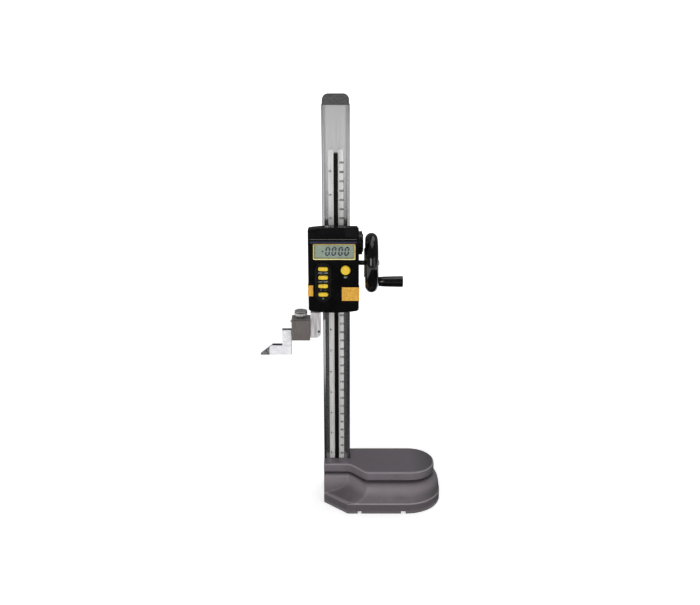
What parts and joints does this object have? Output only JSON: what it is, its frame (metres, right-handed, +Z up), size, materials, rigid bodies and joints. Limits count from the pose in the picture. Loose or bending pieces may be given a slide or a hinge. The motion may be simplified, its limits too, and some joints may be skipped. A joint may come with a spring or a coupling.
{
  "type": "digital height gauge",
  "caption": "Digital height gauge: scriber and display head on a slider that a hand wheel drives up a ground column by rack and pinion, on a cast base.",
  "frame": {"origin": "on the surface plate, under the middle of the column's front face", "axes": "+X right along the base, +Y to the back, +Z up the column; the scriber points to -X"},
  "size_m": [0.2036, 0.078, 0.4652],
  "materials": {
    "cast_paint": "gloss enamel on cast iron",
    "column_steel": "ground",
    "cap_plastic": "satin",
    "scale_steel": "satin chrome",
    "black_steel": "black oxide",
    "bright_steel": "polished",
    "screw_steel": "zinc plated",
    "frame_paint": "black enamel",
    "bronze": "machined",
    "shell_plastic": "gloss black",
    "cover_plastic": "moulded",
    "gilt_frame": "anodised",
    "window_glass": "clear",
    "lcd_glass": "reflective display",
    "holder_plastic": "moulded",
    "board_green": "solder mask",
    "key_yellow": "moulded",
    "grip_orange": "moulded",
    "wheel_plastic": "gloss black",
    "cell_steel": "polished",
    "clamp_steel": "dark blued steel",
    "carbide": "ground carbide"
  },
  "bodies": {
    "stand": {"base": "cast_paint", "column": "column_steel", "column_cap": "cap_plastic", "column_screws": "screw_steel", "inch_scale": "scale_steel", "mm_scale": "scale_steel", "rack": "black_steel"},
    "slider": {"slider_frame": "frame_paint", "gib": "bronze", "gib_screws": "screw_steel", "reader_board": "board_green", "right_bush": "bronze", "left_bush": "bronze", "lock_pad": "bronze", "housing": "shell_plastic", "back_cover": "cover_plastic", "cover_screws": "screw_steel", "head_screws": "screw_steel", "display_frame": "gilt_frame", "display_window": "window_glass", "lcd_panel": "lcd_glass", "lcd_holder": "holder_plastic", "circuit_board": "board_green", "board_screws": "screw_steel", "key_switches": "cover_plastic", "key_surround": "cover_plastic", "left_grip": "grip_orange", "right_grip": "grip_orange", "battery_cell": "cell_steel", "battery_holder": "holder_plastic", "measuring_arm": "bright_steel", "arm_screws": "screw_steel", "stop_screw": "screw_steel"},
    "drive": {"drive_shaft": "bright_steel", "drive_pinion": "bright_steel", "shaft_collar": "screw_steel", "hand_wheel": "wheel_plastic", "hub_screw": "screw_steel", "crank_pin": "bright_steel"},
    "crank": {"crank_handle": "wheel_plastic"},
    "lock": {"lock_knob": "wheel_plastic"},
    "door": {"battery_door": "cover_plastic"},
    "clamp": {"scriber_clamp": "clamp_steel", "clamp_pins": "screw_steel", "clamp_pad": "screw_steel"},
    "thumb": {"thumb_screw": "bright_steel"},
    "scriber": {"scriber": "bright_steel", "carbide_tip": "carbide"},
    "round_key": {"round_key": "key_yellow"},
    "key_1": {"key_1": "key_yellow"},
    "key_2": {"key_2": "key_yellow"},
    "key_3": {"key_3": "key_yellow"},
    "key_4": {"key_4": "key_yellow"}
  },
  "joints": [
    {"name": "slider_travel", "type": "slide", "parent": "stand", "child": "slider", "axis": [0, 0, 1], "range_m": [-0.1855, 0.1145]},
    {"name": "wheel_spin", "type": "hinge", "parent": "slider", "child": "drive", "pos_m": [0, -0.00465, 0.2866], "axis": [1, 0, 0], "range_deg": [-1175, 1900]},
    {"name": "handle_spin", "type": "hinge", "parent": "drive", "child": "crank", "pos_m": [0.058, -0.00465, 0.2652], "axis": [1, 0, 0], "continuous": true},
    {"name": "lock_turn", "type": "hinge", "parent": "slider", "child": "lock", "pos_m": [0.025, 0.006, 0.306], "axis": [1, 0, 0], "range_deg": [0, 270]},
    {"name": "door_slide", "type": "slide", "parent": "slider", "child": "door", "axis": [0, 0, 1], "range_m": [0, 0.011]},
    {"name": "clamp_slide", "type": "slide", "parent": "slider", "child": "clamp", "axis": [1, 0, 0], "range_m": [-0.004, 0]},
    {"name": "thumb_turn", "type": "hinge", "parent": "clamp", "child": "thumb", "pos_m": [-0.03845, -0.017, 0.232], "axis": [0, 0, 1], "range_deg": [0, 360]},
    {"name": "scriber_slide", "type": "slide", "parent": "clamp", "child": "scriber", "axis": [1, 0, 0], "range_m": [-0.008, 0]},
    {"name": "round_key_press", "type": "slide", "parent": "slider", "child": "round_key", "axis": [0, 1, 0], "range_m": [0, 0.0006], "stiffness_N_per_m": 600, "springref_m": -0.0006},
    {"name": "key_1_press", "type": "slide", "parent": "slider", "child": "key_1", "axis": [0, 1, 0], "range_m": [0, 0.0006], "stiffness_N_per_m": 600, "springref_m": -0.0006},
    {"name": "key_2_press", "type": "slide", "parent": "slider", "child": "key_2", "axis": [0, 1, 0], "range_m": [0, 0.0006], "stiffness_N_per_m": 600, "springref_m": -0.0006},
    {"name": "key_3_press", "type": "slide", "parent": "slider", "child": "key_3", "axis": [0, 1, 0], "range_m": [0, 0.0006], "stiffness_N_per_m": 600, "springref_m": -0.0006},
    {"name": "key_4_press", "type": "slide", "parent": "slider", "child": "key_4", "axis": [0, 1, 0], "range_m": [0, 0.0006], "stiffness_N_per_m": 600, "springref_m": -0.0006}
  ],
  "couplings": [
    {"joint": "wheel_spin", "follows": "slider_travel", "rad_per_m": -178.57}
  ]
}
